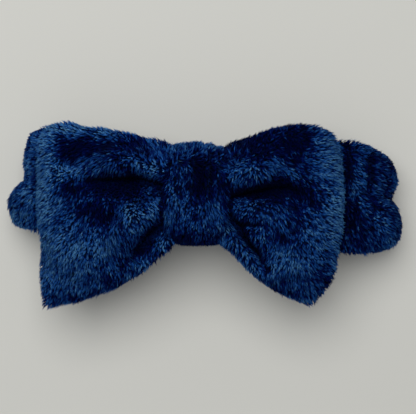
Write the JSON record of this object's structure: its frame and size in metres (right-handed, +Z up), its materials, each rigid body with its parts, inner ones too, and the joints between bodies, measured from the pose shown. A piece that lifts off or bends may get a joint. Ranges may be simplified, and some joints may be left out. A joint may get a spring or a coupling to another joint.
{
  "type": "spa headband",
  "caption": "Plush fleece headband for spa and face washing: an elastic loop that lies flat and opens round the head, with a soft bow tied at its front.",
  "frame": {"origin": "centre of the object's box, on the surface that the back ply rests on", "axes": "+X along the flat band, +Y across it towards the bow's upper edge, +Z up through the bow"},
  "size_m": [0.235, 0.107, 0.0615],
  "materials": {
    "band_fleece": "matte plush pile",
    "bow_fleece": "matte plush pile",
    "elastic": "matte woven",
    "thread": "matte"
  },
  "bodies": {
    "back_centre": {"band_back_centre": "band_fleece", "elastic_centre": "elastic", "closing_seam": "thread"},
    "back_inner_left": {"band_back_inner_left": "band_fleece"},
    "back_left": {"band_back_left": "band_fleece", "elastic_left": "elastic", "elastic_stitch_left": "thread"},
    "end_left": {"band_end_left": "band_fleece"},
    "front_left": {"band_front_left": "band_fleece"},
    "front_inner_left": {"band_front_inner_left": "band_fleece"},
    "knot": {"band_front_centre": "band_fleece", "bow_middle": "bow_fleece", "bow_closing_seam": "thread", "cinch_thread": "thread", "knot_wrap": "bow_fleece", "knot_back_stitch": "thread"},
    "wing_left": {"bow_wing_left": "bow_fleece"},
    "wing_right": {"bow_wing_right": "bow_fleece"},
    "back_inner_right": {"band_back_inner_right": "band_fleece"},
    "back_right": {"band_back_right": "band_fleece", "elastic_right": "elastic", "elastic_stitch_right": "thread"},
    "end_right": {"band_end_right": "band_fleece"},
    "front_right": {"band_front_right": "band_fleece"},
    "front_inner_right": {"band_front_inner_right": "band_fleece"}
  },
  "joints": [
    {"name": "elastic_stretch", "type": "slide", "parent": "back_centre", "child": "back_inner_left", "axis": [-1, 0, 0], "range_m": [0, 0.015], "stiffness_N_per_m": 150},
    {"name": "loop_open", "type": "hinge", "parent": "back_inner_left", "child": "back_left", "pos_m": [-0.04, 0.0155, 0.006], "axis": [0, 1, 0], "range_deg": [0, 50], "stiffness_Nm_per_rad": 0.02},
    {"name": "end_lower_left", "type": "hinge", "parent": "back_left", "child": "end_left", "pos_m": [-0.1115, 0.0155, 0.006], "axis": [0, -1, 0], "range_deg": [0, 50]},
    {"name": "end_upper_left", "type": "hinge", "parent": "end_left", "child": "front_left", "pos_m": [-0.1115, 0.0155, 0.032], "axis": [0, -1, 0], "range_deg": [0, 50]},
    {"name": "front_bend_left", "type": "hinge", "parent": "front_left", "child": "front_inner_left", "pos_m": [-0.04, 0.0155, 0.032], "axis": [0, 1, 0], "range_deg": [0, 50]},
    {"name": "knot_draw", "type": "slide", "parent": "front_inner_left", "child": "knot", "axis": [1, 0, 0], "range_m": [0, 0.015]},
    {"name": "wing_lift_left", "type": "hinge", "parent": "knot", "child": "wing_left", "pos_m": [-0.0325, 0.0125, 0.0485], "axis": [0, 1, 0], "range_deg": [0, 60], "stiffness_Nm_per_rad": 0.01},
    {"name": "wing_lift_right", "type": "hinge", "parent": "knot", "child": "wing_right", "pos_m": [0.0235, 0.0125, 0.0485], "axis": [0, -1, 0], "range_deg": [0, 60], "stiffness_Nm_per_rad": 0.01},
    {"name": "elastic_stretch_right", "type": "slide", "parent": "back_centre", "child": "back_inner_right", "axis": [1, 0, 0], "range_m": [0, 0.015]},
    {"name": "loop_open_right", "type": "hinge", "parent": "back_inner_right", "child": "back_right", "pos_m": [0.04, 0.0155, 0.006], "axis": [0, -1, 0], "range_deg": [0, 50]},
    {"name": "end_lower_right", "type": "hinge", "parent": "back_right", "child": "end_right", "pos_m": [0.1115, 0.0155, 0.006], "axis": [0, 1, 0], "range_deg": [0, 50]},
    {"name": "end_upper_right", "type": "hinge", "parent": "end_right", "child": "front_right", "pos_m": [0.1115, 0.0155, 0.032], "axis": [0, 1, 0], "range_deg": [0, 50]},
    {"name": "front_bend_right", "type": "hinge", "parent": "front_right", "child": "front_inner_right", "pos_m": [0.04, 0.0155, 0.032], "axis": [0, -1, 0], "range_deg": [0, 50]}
  ],
  "couplings": [
    {"joint": "end_lower_left", "follows": "loop_open", "ratio": 1},
    {"joint": "end_upper_left", "follows": "loop_open", "ratio": 1},
    {"joint": "front_bend_left", "follows": "loop_open", "ratio": 1},
    {"joint": "loop_open_right", "follows": "loop_open", "ratio": 1},
    {"joint": "end_lower_right", "follows": "loop_open", "ratio": 1},
    {"joint": "end_upper_right", "follows": "loop_open", "ratio": 1},
    {"joint": "front_bend_right", "follows": "loop_open", "ratio": 1},
    {"joint": "knot_draw", "follows": "elastic_stretch", "ratio": 1},
    {"joint": "elastic_stretch_right", "follows": "elastic_stretch", "ratio": 1}
  ]
}
